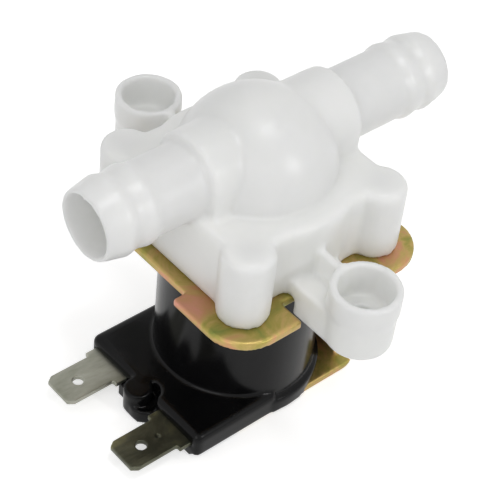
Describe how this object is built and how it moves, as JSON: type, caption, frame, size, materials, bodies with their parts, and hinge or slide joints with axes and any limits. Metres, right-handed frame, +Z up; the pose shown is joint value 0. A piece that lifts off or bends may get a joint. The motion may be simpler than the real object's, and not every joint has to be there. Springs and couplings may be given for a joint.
{
  "type": "water solenoid valve",
  "caption": "In-line water solenoid valve: white moulded body with hose barbs, dome and mounting lugs, folded steel yoke and a black moulded coil with spade terminals.",
  "frame": {"origin": "on the coil's axis at the underside of the yoke's foot", "axes": "+Z up along the coil's axis, +X along the pipe towards the outlet barb, the terminals point to -X"},
  "size_m": [0.0636, 0.0598, 0.052],
  "materials": {
    "white_moulding": "satin, slightly translucent",
    "zinc_plate": "yellow passivated zinc plate",
    "black_moulding": "gloss",
    "tinned_steel": "dull tin plate",
    "rubber": "matt",
    "magnetic_steel": "turned",
    "stainless": "drawn",
    "copper": "enamelled wire",
    "natural_moulding": "satin",
    "screw_steel": "zinc plate"
  },
  "bodies": {
    "valve": {"valve_body": "white_moulding", "diaphragm": "rubber", "guide_tube": "stainless", "return_spring": "stainless", "upper_flux_sleeve": "magnetic_steel", "lower_flux_sleeve": "magnetic_steel", "coil_bobbin": "natural_moulding", "coil_winding": "copper", "coil_housing": "black_moulding", "terminal_front": "tinned_steel", "terminal_rear": "tinned_steel", "yoke": "zinc_plate", "screw_inlet_front": "screw_steel", "screw_inlet_rear": "screw_steel", "screw_outlet_front": "screw_steel", "screw_outlet_rear": "screw_steel"},
    "plunger_unit": {"plunger": "magnetic_steel", "plunger_seal": "rubber"},
    "diaphragm_unit": {"diaphragm_insert": "natural_moulding"}
  },
  "joints": [
    {"name": "plunger_slide", "type": "slide", "parent": "valve", "child": "plunger_unit", "axis": [0, 0, 1], "range_m": [-0.0025, 0], "stiffness_N_per_m": 100, "springref_m": 0.003, "deforming": ["return_spring"]},
    {"name": "diaphragm_lift", "type": "slide", "parent": "valve", "child": "diaphragm_unit", "axis": [0, 0, 1], "range_m": [-0.0015, 0], "deforming": ["diaphragm"]}
  ],
  "couplings": [
    {"joint": "diaphragm_lift", "follows": "plunger_slide", "ratio": 0.6}
  ]
}
